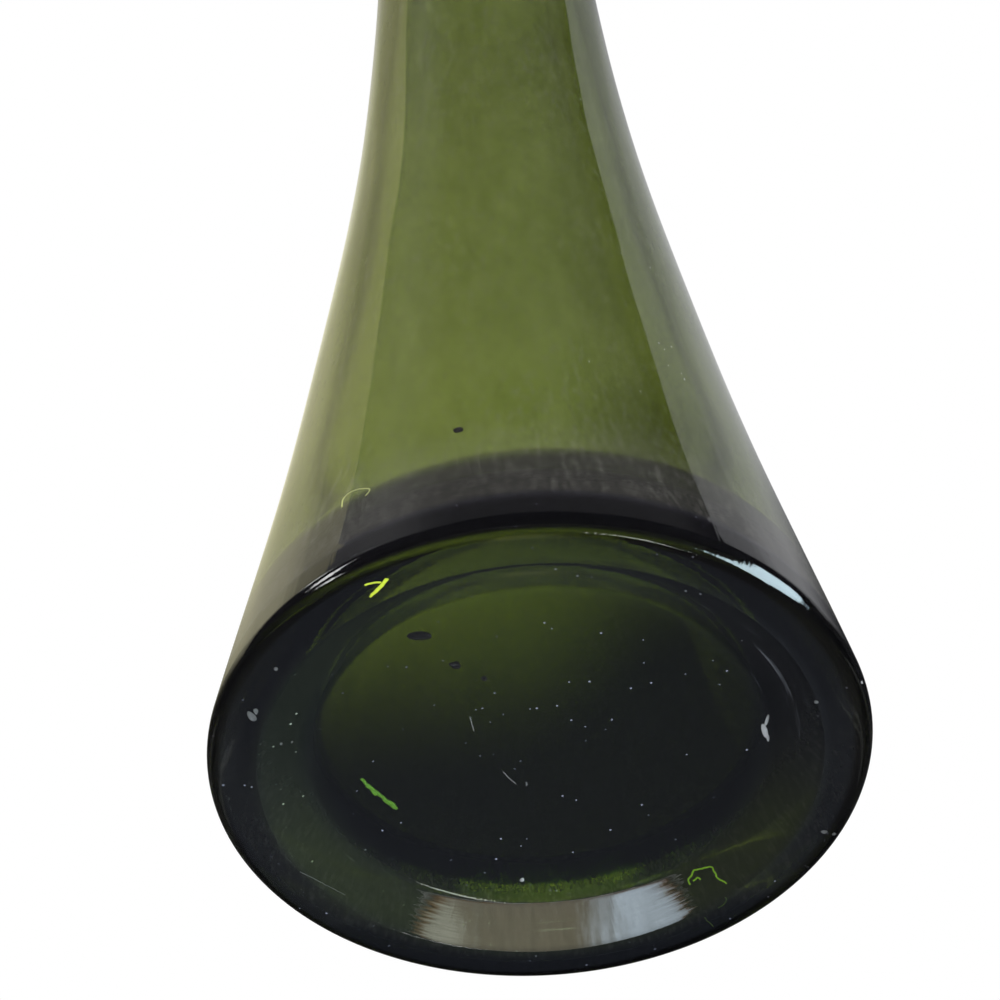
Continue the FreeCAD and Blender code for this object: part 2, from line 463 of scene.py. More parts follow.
def facing_out(piece):
    """Turns the faces of a closed mesh outwards, by the sign of its volume."""
    volume = 0.0
    mesh = piece.data
    mesh.calc_loop_triangles()
    for triangle in mesh.loop_triangles:
        a, b, c = (mesh.vertices[i].co for i in triangle.vertices)
        volume += a.dot(b.cross(c)) / 6
    if volume < 0:
        mesh.flip_normals()
    return abs(volume)


# %% [markdown]
# Clear glass is a Principled shader with full transmission. Its face is not spotless, though: the ground
# foot has dust and wear, and the wall has wiped streaks and a faint grain. So a second, matte shader is
# mixed in where a mask says so. The mask is built from Object coordinates, so that it stays on the glass
# from every side.

# %% Dust and wear on the clear glass
# Where each look starts and is full, and where it leaves and ends: heights, or distances from the axis
FOOT_EDGE = (6.0 * MM, 8.0 * MM)
HANDLED_BAND = (5.0 * MM, 8.5 * MM, 14.0 * MM, 30.0 * MM)
WORN_RING = (28.0 * MM, 34.0 * MM, 37.2 * MM, 40.0 * MM)
# Specks of dust: cells in a metre, radius in cells, and share of the cells that hold one
LARGE_SPECKS = (420.0, 0.10, 0.05)
SMALL_SPECKS = (1100.0, 0.22, 0.06)
# Noise that is drawn out: cells in a radian or in a metre, and the noise between which the mark comes in
WIPE_CELLS, WIPE_LIMITS = (40.0, 36.0), (0.50, 0.80)
GRAIN_CELLS, GRAIN_LIMITS = (1100.0, 1100.0, 260.0), (0.46, 0.74)
ARC_CELLS, ARC_LIMITS = (1.6, 900.0), (0.60, 0.74)
FINE_ARC_CELLS, DRAG_CELLS = (3.0, 2600.0), (1500.0, 160.0)
# Patches in which a mark shows: cells in a metre, and the noise between which the patch comes in
WIPE_PATCHES, GRAIN_PATCHES = (30.0, 0.35, 0.70), (26.0, 0.35, 0.65)
ARC_PATCHES, DUST_PATCHES = (45.0, 0.50, 0.65), (60.0, 0.45, 0.62)
# How much film each kind of mark lays on the glass
LARGE_SPECK_FILM, SMALL_SPECK_FILM, WALL_DUST_SHARE = 0.5, 0.45, 0.25
WIPE_FILM, GRAIN_FILM, HANDLED_FILM = 0.03, 0.055, 0.060
ARC_FILM, FINE_ARC_FILM, RING_FILM, DRAG_FILM, FOOT_FILM = 0.16, 0.017, 0.001, 0.009, 0.007


def speck_mask(t, place, scale, radius, share):
    """Small dots, one in some of the cells of a Voronoi pattern."""
    pattern = {"Vector": place, "Scale": scale, "Randomness": 1.0}
    cells = t.make("ShaderNodeTexVoronoi", {"feature": "F1"}, pattern)
    chance = t.split(cells.out("Color"))[0]
    near = t.fall(cells.out("Distance"), radius * 0.55, radius)
    return near * t.step(chance, 1.0 - share, 1.0 - share * 0.8)


def drawn_out(t, parts, cells, detail=3.0, roughness=0.7):
    """Noise over parts such as a turn and a height, with this many cells in a unit of each."""
    place = t.combine(*[part * count for part, count in zip(parts, cells)])
    return t.noise(place, 1.0, detail, roughness)


def patches(t, place, scale, low, high):
    return t.step(t.noise(place, scale), low, high)


def wall_film(t, place, turn, on_wall):
    """Wiped streaks, a fine upright grain, and a band near the foot that is grey from handling."""
    x, y, z = t.split(place)
    wiped = t.step(drawn_out(t, (turn, z), WIPE_CELLS, 4.0, 0.6), *WIPE_LIMITS) * on_wall
    wiped = wiped * patches(t, place, *WIPE_PATCHES)
    upright = drawn_out(t, (x, y, z), GRAIN_CELLS, 2.0, 0.6)
    grain = t.step(upright, *GRAIN_LIMITS) * (patches(t, place, *GRAIN_PATCHES) * 0.6 + 0.4) * on_wall
    handled = t.band(z, *HANDLED_BAND) * (upright * 0.6 + 0.7)
    return wiped * WIPE_FILM + grain * GRAIN_FILM + handled * HANDLED_FILM


def foot_film(t, place, turn, from_axis, worn_ring, far_side):
    """Arcs worn into the ring that the vase stands on, and a thin veil over the whole ground face."""
    x, y, z = t.split(place)
    arcs = t.step(drawn_out(t, (turn, from_axis), ARC_CELLS), *ARC_LIMITS)
    arcs = arcs * worn_ring * patches(t, place, *ARC_PATCHES)
    fine_arcs = drawn_out(t, (turn, from_axis), FINE_ARC_CELLS)
    veil = worn_ring * (fine_arcs * FINE_ARC_FILM + RING_FILM) * (far_side * 0.5 + 1.0)
    fine_drags = drawn_out(t, (x, y), DRAG_CELLS)
    return arcs * ARC_FILM + veil + fine_drags * DRAG_FILM + FOOT_FILM


def new_material(name):
    material = bpy.data.materials.new(name)
    material.use_nodes = True
    material.node_tree.nodes.clear()
    return material, Tree(material.node_tree)


print("film on the glass: handled from", HANDLED_BAND[0] / MM, "to", HANDLED_BAND[-1] / MM, "mm up")

# %% [markdown]
# The bevel and the ring are ground, so they let less light through than the polished dome. Grinding also
# left fine spokes and rings, too shallow to model, which a Bump node adds. The dust film's colour has
# painted light in it: green on the worn ring's left and far side, for the green light in the glass, blue
# on its right, for the window's light, and blue over the rest of the ground face.

# %% Clear glass
GROUND_EDGE = (30.6 * MM, 31.6 * MM)
POLISHED_TINT = (0.985, 0.99, 0.985, 1.0)
GROUND_TINT = (0.27, 0.28, 0.27, 1.0)
GRINDING_DEPTH = 0.05 * MM
# The grinding marks: cells in a radian and in a metre outwards, and how much the spokes count
SPOKE_CELLS, RING_CELLS, SPOKE_SHARE = (60.0, 150.0), (4.0, 1500.0), 1.6
FAR_SIDE = (-4.0 * MM, 16.0 * MM)
PAINTED_LIGHT_SIDES = (-20.0 * MM, 20.0 * MM)
# Painted light in the dust film: green for the light in the glass, blue for the window's light
FILM_LEFT_PAINTED_GREEN = (0.56, 0.60, 0.47, 1.0)
FILM_RIGHT_PAINTED_BLUE = (0.62, 0.62, 0.70, 1.0)
FILM_FAR_PAINTED_GREEN = (0.55, 0.64, 0.34, 1.0)
FILM_DISC_PAINTED_BLUE = (0.56, 0.55, 0.70, 1.0)
WALL_DUST = (0.62, 0.60, 0.54, 1.0)


def make_clear_glass():
    material, t = new_material("clear_glass")
    place = t.object_place()
    x, y, z = t.split(place)
    from_axis = (x * x + y * y).maths("SQRT")
    turn = y.maths("ARCTAN2", x)
    on_foot = t.fall(z, *FOOT_EDGE)
    on_wall = 1.0 - on_foot
    far_side = t.step(y, *FAR_SIDE)
    worn_ring = t.band(from_axis, *WORN_RING)
    dust = speck_mask(t, place, *LARGE_SPECKS) * LARGE_SPECK_FILM
    dust = dust + speck_mask(t, place, *SMALL_SPECKS) * SMALL_SPECK_FILM
    foot_dust = dust * (patches(t, place, *DUST_PATCHES) * 0.8 + 0.2)
    on_ground_face = foot_dust + foot_film(t, place, turn, from_axis, worn_ring, far_side)
    on_outside = on_wall * dust * WALL_DUST_SHARE + wall_film(t, place, turn, on_wall)
    mask = (on_foot * on_ground_face + on_outside).clamped()

    ground = t.step(from_axis, *GROUND_EDGE) * on_foot
    spokes = drawn_out(t, (turn, from_axis), SPOKE_CELLS, 2.0, 0.5)
    rings = drawn_out(t, (turn, from_axis), RING_CELLS, 2.0, 0.5)
    grinding = (spokes * SPOKE_SHARE + rings) * on_foot * (ground * 0.8 + 0.2)
    bump = t.make("ShaderNodeBump", {}, {"Strength": 0.3, "Distance": GRINDING_DEPTH, "Height": grinding})
    tint = t.mix(ground, POLISHED_TINT, GROUND_TINT)
    glass = t.make("ShaderNodeBsdfPrincipled", {}, {"Base Color": tint, "Roughness": 0.0,
                                                   "IOR": GLASS_IOR, "Transmission Weight": 1.0,
                                                   "Normal": bump})
    # Painted light: on top of its dust colour, the film is tinted green or blue by side and by ring
    dust_colour_and_painted_light = t.mix(t.step(x, *PAINTED_LIGHT_SIDES), FILM_LEFT_PAINTED_GREEN, FILM_RIGHT_PAINTED_BLUE)
    dust_colour_and_painted_light = t.mix(far_side, dust_colour_and_painted_light, FILM_FAR_PAINTED_GREEN)
    dust_colour_and_painted_light = t.mix(worn_ring, FILM_DISC_PAINTED_BLUE, dust_colour_and_painted_light)
    dust_colour_and_painted_light = t.mix(on_foot, WALL_DUST, dust_colour_and_painted_light)
    matte = t.make("ShaderNodeBsdfPrincipled", {}, {"Base Color": dust_colour_and_painted_light, "Roughness": 0.8})
    t.end_material(t.mixed_shader(mask, glass, matte))
    return material


CLEAR_GLASS = make_clear_glass()
print("material:", CLEAR_GLASS.name)

# %% [markdown]
# The green layer has the same optical density as the clear glass, so its faces must not bend light at
# all: IOR 1. All its colour comes from the volume. The absorption per metre follows from the photograph:
# two walls of the body, about 4.4 mm of green in all, let through 18 % of the red light, 23 % of the
# green and only 5 % of the blue.

# %% Green glass
GREEN_DENSITY = 700.0
GREEN_TINT = (0.45, 0.52, 0.03)
TWO_GREEN_WALLS = 4.4 * MM


def make_green_glass():
    material, t = new_material("green_glass")
    face = t.make("ShaderNodeBsdfPrincipled", {}, {"Base Color": (1.0, 1.0, 1.0, 1.0), "Roughness": 0.0,
                                                  "IOR": 1.0, "Specular IOR Level": 0.0,
                                                  "Transmission Weight": 1.0})
    volume = t.make("ShaderNodeVolumeAbsorption", {}, {"Color": (*GREEN_TINT, 1.0), "Density": GREEN_DENSITY})
    t.make("ShaderNodeOutputMaterial", {}, {"Surface": face, "Volume": volume})
    return material


GREEN_GLASS = make_green_glass()
passed = [math.exp(-GREEN_DENSITY * (1 - tint) * TWO_GREEN_WALLS) for tint in GREEN_TINT]
print("light let through by", TWO_GREEN_WALLS / MM, "mm:", [round(v, 2) for v in passed])

# %% Make both glasses
STEPS_ROUND = 192
WAVES = {"Steps Round": STEPS_ROUND, "Waviness": 0.35 * MM, "Wave Scale": 1.3, "Quiet Below": 12.0 * MM,
         "Ripple": 1.1 * MM, "Ripple Scale": 170.0}
# Only the seam between the glasses ripples: these points of the core's wall, from a little above its
# corner to a little below the lip
SEAM_SKIPPED, SEAM_POINTS = 2, 118


def make_layer(name, outline, material, rippled):
    source = outline_object(name + "_outline", outline, rippled)
    values = {"Outline Points": len(source.data.vertices), "Material": material, **WAVES}
    piece = made_plain(source, ROLLED_UP, ROLLED_UP_INPUTS, values, name)
    volume = facing_out(piece)
    print(name, len(piece.data.polygons), "faces,", round(volume * 1e6, 1), "cubic cm inside")
    return piece


vase_glass = make_layer("vase_glass", glass_outline, CLEAR_GLASS, ())
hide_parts("clear_casing")
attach(vase_glass, "root")
seam_start = len(layer_floor) + len(layer_corner) + SEAM_SKIPPED
seam_points = range(seam_start, seam_start + SEAM_POINTS)
green_layer = make_layer("green_layer", layer_outline, GREEN_GLASS, seam_points)
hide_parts("green_core")
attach(green_layer, "root")

# %% [markdown]
# The camera was fitted to the outline of the vase: a 93.6 mm lens, 353 mm from the middle of the foot,
# looking up at it at 42.6 degrees, with a slight roll. The object's axis is off the middle of the
# picture, so the camera is turned rather than shifted.

# %% The camera of the photograph
PICTURE_SIZE = 1000.0
PICTURE_MIDDLE = PICTURE_SIZE / 2
SENSOR_WIDTH = 36.0
FOCAL_PIXELS = 2600.0
TILT, ROLL, AWAY = math.radians(42.61), math.radians(-4.07), 352.7 * MM
# The pixel at which the middle of the foot shows
FOOT_AT = (541.3, 771.4)
foot_right, foot_down = FOOT_AT[0] - PICTURE_MIDDLE, FOOT_AT[1] - PICTURE_MIDDLE
pan = math.atan2(foot_right, FOCAL_PIXELS)
rise = math.atan2(foot_down, math.hypot(FOCAL_PIXELS, foot_right))
right = Vector((1, 0, 0))
ahead = Vector((0, math.cos(TILT), math.sin(TILT)))
upward = Vector((0, -math.sin(TILT), math.cos(TILT)))
rolled_right = right * math.cos(ROLL) + upward * math.sin(ROLL)
rolled_down = right * math.sin(ROLL) - upward * math.cos(ROLL)
camera_right = rolled_right * math.cos(pan) + ahead * math.sin(pan)
level_ahead = ahead * math.cos(pan) - rolled_right * math.sin(pan)
camera_down = rolled_down * math.cos(rise) + level_ahead * math.sin(rise)
camera_ahead = level_ahead * math.cos(rise) - rolled_down * math.sin(rise)
camera_data = bpy.data.cameras.new("camera")
camera_data.sensor_width = SENSOR_WIDTH
camera_data.lens = FOCAL_PIXELS / PICTURE_SIZE * SENSOR_WIDTH
camera_data.clip_start = 10.0 * MM
camera = object_in_scene("camera", camera_data)
turned = Matrix((camera_right, -camera_down, -camera_ahead)).transposed().to_4x4()
camera.matrix_world = Matrix.Translation(-ahead * AWAY) @ turned
bpy.context.scene.camera = camera
print("camera at", [round(v, 4) for v in camera.matrix_world.translation])

# %% [markdown]
# Small dark grains of batch that never melted hang in the clear glass, three just under the green floor
# and one low in the wall. Each is a lump, not a ball: the corners of a ball cut from an octahedron are
# pushed in and out by fixed random numbers.

# %% Dark grains
STONE_DARK, STONE_LIGHT = (0.006, 0.006, 0.008, 1.0), (0.030, 0.022, 0.016, 1.0)
STONE_CELLS, STONE_ROUGH_DEPTH = 2500.0, 0.1 * MM
# How many swellings a lump has, how far each goes in or out, and how steep it is
SWELLINGS, SWELLING_SHARE, SWELLING_STEEPNESS = 14, 0.35, 6


def make_grain_material():
    material, t = new_material("dark_grain")
    mottled = t.noise(t.object_place(), STONE_CELLS, 3.0)
    colour = t.mix(mottled, STONE_DARK, STONE_LIGHT)
    bump = t.make("ShaderNodeBump", {}, {"Strength": 0.6, "Distance": STONE_ROUGH_DEPTH, "Height": mottled})
    stone = t.make("ShaderNodeBsdfPrincipled", {}, {"Base Color": colour, "Roughness": 0.75, "Normal": bump})
    t.end_material(stone)
    return material


DARK_GRAIN = make_grain_material()


def ball_points(subdivisions):
    """Corners and faces of a ball cut from an octahedron."""
    vertices = [Vector(v) for v in ((1, 0, 0), (-1, 0, 0), (0, 1, 0), (0, -1, 0), (0, 0, 1), (0, 0, -1))]
    faces = [(0, 2, 4), (2, 1, 4), (1, 3, 4), (3, 0, 4), (2, 0, 5), (1, 2, 5), (3, 1, 5), (0, 3, 5)]
    for level in range(subdivisions):
        middles = {}
        finer = []
        for a, b, c in faces:
            corners = []
            for start, end in ((a, b), (b, c), (c, a)):
                key = (min(start, end), max(start, end))
                if key not in middles:
                    middles[key] = len(vertices)
                    vertices.append(((vertices[start] + vertices[end]) / 2).normalized())
                corners.append(middles[key])
            ab, bc, ca = corners
            finer += [(a, ab, ca), (ab, b, bc), (ca, bc, c), (ab, bc, ca)]
        faces = finer
    return vertices, faces


def lump(centre, sizes, turn_deg, seed, subdivisions=3):
    """Corners and faces of an irregular lump round a centre, with its own half sizes."""
    chance = random.Random(seed)
    bumps = [(Vector([chance.uniform(-1, 1) for axis in range(3)]).normalized(),
              chance.uniform(-SWELLING_SHARE, SWELLING_SHARE)) for k in range(SWELLINGS)]
    directions, faces = ball_points(subdivisions)
    turned = Matrix.Rotation(math.radians(turn_deg), 3, "Z")
    corners = []
    for direction in directions:
        swell = 1.0
        for bump_direction, amount in bumps:
            swell += amount * max(0.0, direction.dot(bump_direction)) ** SWELLING_STEEPNESS
        local = Vector((direction.x * sizes[0], direction.y * sizes[1], direction.z * sizes[2])) * swell
        corners.append(turned @ local + Vector(centre))
    return corners, faces


def joined(name, lumps, material):
    """One smooth mesh of several lumps."""
    vertices, faces = [], []
    for corners, lump_faces in lumps:
        first = len(vertices)
        vertices += corners
        faces += [[first + i for i in face] for face in lump_faces]
    mesh = bpy.data.meshes.new(name)
    mesh.from_pydata(vertices, [], faces)
    for face in mesh.polygons:
        face.use_smooth = True
    mesh.materials.append(material)
    return object_in_scene(name, mesh)


# centre, half sizes and turn of each grain
GRAINS = (
    ((-0.0150, -0.0200, 0.0110), (0.0017, 0.0008, 0.0010), 8.0),
    ((-0.0106, -0.0133, 0.0118), (0.0008, 0.0006, 0.0006), 40.0),
    ((-0.0069, -0.0102, 0.0121), (0.0004, 0.0004, 0.0004), 0.0),
    ((-0.0074, -0.0372, 0.0262), (0.0007, 0.0005, 0.0007), 20.0),
)
GRAIN_SEED = 11
grain_lumps = [lump(centre, sizes, turn, GRAIN_SEED + k) for k, (centre, sizes, turn) in enumerate(GRAINS)]
dark_grains = joined("dark_grains", grain_lumps, DARK_GRAIN)
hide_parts("stone_grains")
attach(dark_grains, "root")
print("dark grains:", len(GRAINS))

# %% [markdown]
# Old glass is full of small faults, and the photograph shows where they are. Some are green threads in the
# thick foot that glow by themselves: painted glints of light. Others are chips and scratches on the ground
# face, real wear that also glows a little. Each is placed by the pixel where it shows: the line of sight
# through the pixel is followed to the ground face, bent there as glass bends it, and followed on to the
# depth of the mark. So the marks are in the glass, seen from any side. The marks in the wall lie so close
# behind its face that the bend is left out.

# %% Find the place in the glass that shows at a pixel
# The ground face is met by steps towards it, each this share of what is left
MEETING_STEPS, MEETING_SHARE = 30, 0.6
SLOPE_SPAN = 0.01 * MM
# The outer wall is searched along the line of sight, between these distances from the camera
WALL_NEAR, WALL_FAR, WALL_SEARCH_STEP = 0.27, 0.45, 0.1 * MM


def line_of_sight(column, row):
    """Direction from the camera through a pixel of the picture."""
    across = camera_right * ((column - PICTURE_MIDDLE) / FOCAL_PIXELS)
    return (camera_ahead + across + camera_down * ((row - PICTURE_MIDDLE) / FOCAL_PIXELS)).normalized()


def under_pixel(column, row, depth):
    """The point this deep behind the ground face, on the bent line of sight through a pixel."""
    start = camera.matrix_world.translation
    sight = line_of_sight(column, row)
    level = 0.0
    for attempt in range(MEETING_STEPS):
        point = start + sight * ((level - start.z) / sight.z)
        radius = math.hypot(point.x, point.y)
        level += MEETING_SHARE * (foot_height(radius) - level)
    slope = (foot_height(radius + SLOPE_SPAN) - foot_height(radius - SLOPE_SPAN)) / (2 * SLOPE_SPAN)
    inwards = Vector((-slope * point.x / radius, -slope * point.y / radius, 1.0)).normalized()
    meets = sight.dot(inwards)
    bent = sight / GLASS_IOR
    bent += inwards * (math.sqrt(1.0 - (1.0 - meets ** 2) / GLASS_IOR ** 2) - meets / GLASS_IOR)
    return point + bent * depth


def behind_wall(column, row, depth):
    """The point this far along the line of sight behind the outer wall, under a pixel of the body."""
    start = camera.matrix_world.translation
    sight = line_of_sight(column, row)
    away = WALL_NEAR
    while away < WALL_FAR:
        point = start + sight * away
        above = min(outer_wall, key=lambda p: abs(p.y - point.z))
        if math.hypot(point.x, point.y) < above.x:
            break
        away += WALL_SEARCH_STEP
    return point + sight * depth


middle_mark = under_pixel(*FOOT_AT, 2.0 * MM)
print("2 mm behind the ground face, its middle pixel shows", [round(v / MM, 1) for v in middle_mark])


# %% A tree that turns lines into thin, uneven threads
THREAD_STEP = 0.15 * MM
THREAD_SIDES = 6
# A thread's radius goes from the least share to the sum of both, as the noise goes between its limits
SWELL_LEAST, SWELL_MORE, SWELL_LIMITS = 0.25, 1.1, (0.30, 0.70)
WANDER_CELLS = 900.0


def thread_tree():
    g, identifiers = new_geometry_tree("threads along lines", (
        ("Thickness", "Float"), ("Wander", "Float"), ("Wander Scale", "Float"), ("Seed", "Float"),
        ("Material", "Material")))
    given = g.make("NodeGroupInput")
    path = g.make("GeometryNodeMeshToCurve", {}, {"Mesh": given})
    path = g.make("GeometryNodeCurveSplineType", {"spline_type": "CATMULL_ROM"}, {"Curve": path})
    path = g.make("GeometryNodeResampleCurve", {"mode": "LENGTH"}, {"Curve": path, "Length": THREAD_STEP})
    place = g.make("GeometryNodeInputPosition")
    shifted = g.make("ShaderNodeVectorMath", {"operation": "ADD"}, {0: place, 1: given.out("Seed")})
    cloud = g.noise(shifted, given.out("Wander Scale"))
    centred = g.make("ShaderNodeVectorMath", {"operation": "SUBTRACT"},
                     {0: cloud.out("Color"), 1: (0.5, 0.5, 0.5)})
    moved = g.scaled(centred, given.out("Wander"))
    path = g.make("GeometryNodeSetPosition", {}, {"Geometry": path, "Offset": moved})
    swell = g.step(cloud, *SWELL_LIMITS) * SWELL_MORE + SWELL_LEAST
    path = g.make("GeometryNodeSetCurveRadius", {}, {"Curve": path, "Radius": swell})
    section = g.make("GeometryNodeCurvePrimitiveCircle", {},
                     {"Resolution": THREAD_SIDES, "Radius": given.out("Thickness")})
    body = g.make("GeometryNodeCurveToMesh", {}, {"Curve": path, "Profile Curve": section, "Fill Caps": True})
    end_geometry_tree(g, given, body)
    return g.tree, identifiers


THREADS, THREAD_INPUTS = thread_tree()


def threads(name, lines, depth, thickness, wander, seed, material, placed=under_pixel):
    """Threads through rows of pixels, all at one depth behind the face of the glass."""
    points, edges = [], []
    for line in lines:
        first = len(points)
        points += [placed(column, row, depth) for column, row in line]
        edges += [(first + k, first + k + 1) for k in range(len(line) - 1)]
    mesh = bpy.data.meshes.new(name + "_lines")
    mesh.from_pydata(points, edges, [])
    source = object_in_scene(name + "_lines", mesh)
    values = {"Thickness": thickness, "Wander": wander, "Wander Scale": WANDER_CELLS, "Seed": seed,
              "Material": material}
    piece = made_plain(source, THREADS, THREAD_INPUTS, values, name)
    facing_out(piece)
    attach(piece, "root")
    print(name, "has", len(lines), "threads and", len(piece.data.polygons), "faces")
    return piece


# %% [markdown]
# Each kind of mark has its own finish. In the photograph most are brighter than the dim light inside the
# foot could make them here, so each glows a little by itself, and its colour is mottled by a noise.

# %% Finishes of the marks
MOTTLE_CELLS, MOTTLE_DARKEST = 2200.0, 0.6


def make_glowing_finish(name, colour, roughness, glow):
    material, t = new_material(name)
    mottled = t.noise(t.object_place(), MOTTLE_CELLS)
    varied = t.mix(mottled, (*[v * MOTTLE_DARKEST for v in colour], 1.0), (*colour, 1.0))
    finish = t.make("ShaderNodeBsdfPrincipled", {}, {"Base Color": varied, "Roughness": roughness,
                                                    "Emission Color": varied, "Emission Strength": glow})
    t.end_material(finish)
    return material


# Painted light: the green finishes are glints that glow by themselves, and the chips are real wear that glows
# a little
GREEN_GLINT_GLOW = make_glowing_finish("glowing_green_glint", (0.42, 0.85, 0.03), 0.35, 0.45)
BRIGHT_GREEN_GLINT_GLOW = make_glowing_finish("bright_glowing_green_glint", (0.82, 1.00, 0.08), 0.35, 1.60)
DEEP_GREEN_GLINT_GLOW = make_glowing_finish("deep_glowing_green_glint", (0.17, 0.46, 0.02), 0.45, 0.20)
PALE_GREEN_GLINT_GLOW = make_glowing_finish("pale_glowing_green_glint", (0.55, 0.58, 0.22), 0.45, 0.60)
DIM_GREEN_GLINT_GLOW = make_glowing_finish("dim_glowing_green_glint", (0.16, 0.27, 0.03), 0.45, 0.12)
GLOWING_PALE_CHIPS = make_glowing_finish("glowing_chips_and_scratches", (0.80, 0.82, 0.86), 0.60, 0.12)
print("finishes of the marks ready")

# %% Threads in the foot: each line is a row of pixels of the 1000 x 1000 picture
THREAD_DEPTH = 1.2 * MM
BRIGHT_HOOK = (
    ((365, 585), (373, 583), (381, 582)),
    ((388, 579), (382, 586), (377, 591), (370, 597)),
    ((386, 579), (379, 587), (371, 595)),
)
RAGGED_RING = (
    ((690, 884), (689, 878), (694, 872), (701, 869), (711, 867), (715, 873), (722, 882), (726, 884)),
    ((693, 881), (697, 877), (701, 879)),
)
GREEN_STREAK = (
    ((361, 779), (366, 784), (372, 789), (378, 793), (385, 799), (391, 803), (397, 809)),
    ((374, 791), (381, 796), (387, 802), (394, 808)),
    ((366, 786), (371, 789), (376, 795)),
)
DIM_TICKS = (
    ((727, 898), (724, 904), (718, 908)),
    ((704, 918), (709, 923), (713, 926)),
)
# Painted glints: these threads glow green by themselves
bright_threads = threads("bright_threads", BRIGHT_HOOK, THREAD_DEPTH, thickness=0.15 * MM, wander=0.4 * MM,
                         seed=0.3, material=BRIGHT_GREEN_GLINT_GLOW)
lime_threads = threads("lime_threads", RAGGED_RING, THREAD_DEPTH, thickness=0.13 * MM, wander=0.9 * MM,
                       seed=0.3, material=GREEN_GLINT_GLOW)
thick_threads = threads("thick_threads", GREEN_STREAK, THREAD_DEPTH, thickness=0.24 * MM, wander=0.5 * MM,
                        seed=0.9, material=DEEP_GREEN_GLINT_GLOW)
dim_threads = threads("dim_threads", DIM_TICKS, THREAD_DEPTH, thickness=0.08 * MM, wander=0.8 * MM,
                      seed=0.7, material=DIM_GREEN_GLINT_GLOW)

# %% Scratches in the ground face, and a curled thread in the wall
SCRATCH_DEPTH, WALL_THREAD_DEPTH = 0.25 * MM, 0.4 * MM
SCRATCHES = (
    ((470, 717), (472, 724), (474, 731)),
    ((503, 772), (509, 778), (516, 784)),
    ((526, 782), (527, 784), (526, 786)),
    ((300, 872), (320, 882), (345, 895)),
)
WALL_CURL = (
    ((342, 507), (343, 500), (349, 494), (359, 490), (370, 490), (366, 496)),
)
pale_scratches = threads("pale_scratches", SCRATCHES, SCRATCH_DEPTH, thickness=0.035 * MM, wander=0.3 * MM,
                         seed=1.1, material=GLOWING_PALE_CHIPS)
wall_thread = threads("wall_thread", WALL_CURL, WALL_THREAD_DEPTH, thickness=0.09 * MM, wander=0.2 * MM,
                      seed=0.5, material=PALE_GREEN_GLINT_GLOW, placed=behind_wall)

# %% Chips in the ground face, and flecks in the face of the wall
# pixel, half width, half length
CHIPS = (
    ((252, 716), 0.42 * MM, 1.00 * MM), ((256, 711), 0.34 * MM, 0.60 * MM),
    ((276, 669), 0.22 * MM, 0.34 * MM), ((281, 744), 0.18 * MM, 0.26 * MM),
    ((292, 742), 0.15 * MM, 0.20 * MM), ((816, 702), 0.24 * MM, 0.34 * MM),
    ((862, 683), 0.14 * MM, 0.26 * MM), ((824, 832), 0.42 * MM, 0.34 * MM),
    ((834, 834), 0.26 * MM, 0.30 * MM), ((767, 720), 0.22 * MM, 1.10 * MM),
    ((765, 731), 0.40 * MM, 1.30 * MM), ((768, 738), 0.22 * MM, 0.80 * MM),
    ((522, 880), 0.26 * MM, 0.40 * MM),
)
# pixel, half size
FLECKS = (
    ((580, 100), 0.16 * MM), ((621, 254), 0.14 * MM), ((650, 268), 0.18 * MM), ((658, 344), 0.20 * MM),
    ((664, 350), 0.14 * MM), ((671, 347), 0.16 * MM), ((684, 380), 0.24 * MM), ((681, 374), 0.12 * MM),
    ((589, 362), 0.14 * MM), ((640, 392), 0.12 * MM), ((668, 366), 0.12 * MM),
)
# Glass left over each, so that none breaks through the face
CHIP_COVER, FLECK_COVER = 0.2 * MM, 0.3 * MM
CHIP_HEIGHT_SHARE, FLECK_WIDTH_SHARE, FLECK_HEIGHT_SHARE = 0.5, 0.5, 1.3
CHIP_TURN_DEG, FLECK_TURN_DEG = 6.0, 30.0
CHIP_SEED, FLECK_SEED = 60, 90


def chip(k, pixel, width, length):
    """A flat chip, turned a little to one side or the other."""
    centre = under_pixel(*pixel, width + CHIP_COVER)
    sizes = (width, length, width * CHIP_HEIGHT_SHARE)
    return lump(centre, sizes, CHIP_TURN_DEG * (k % 5 - 2), CHIP_SEED + k, subdivisions=2)


def fleck(k, pixel, size):
    """A narrow, upright fleck."""
    centre = behind_wall(*pixel, size + FLECK_COVER)
    sizes = (size * FLECK_WIDTH_SHARE, size * FLECK_WIDTH_SHARE, size * FLECK_HEIGHT_SHARE)
    return lump(centre, sizes, FLECK_TURN_DEG * k, FLECK_SEED + k, subdivisions=1)


chip_lumps = [chip(k, *entry) for k, entry in enumerate(CHIPS)]
chip_lumps += [fleck(k, *entry) for k, entry in enumerate(FLECKS)]
pale_chips = joined("pale_chips", chip_lumps, GLOWING_PALE_CHIPS)
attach(pale_chips, "root")
print("chips:", len(CHIPS), "and flecks:", len(FLECKS))

# %% [markdown]
# The photograph shows the vase from below and in front, lit from the front, with a pale surface close
# behind it from heel to mouth. Everything bright in the glass is that surface, seen through it or
# reflected along its sides, and everything dark is the dim room. A card stands in for the surface here.
# It glows by itself, so that its light can be set by place: dark where the heel shades it, bright above.

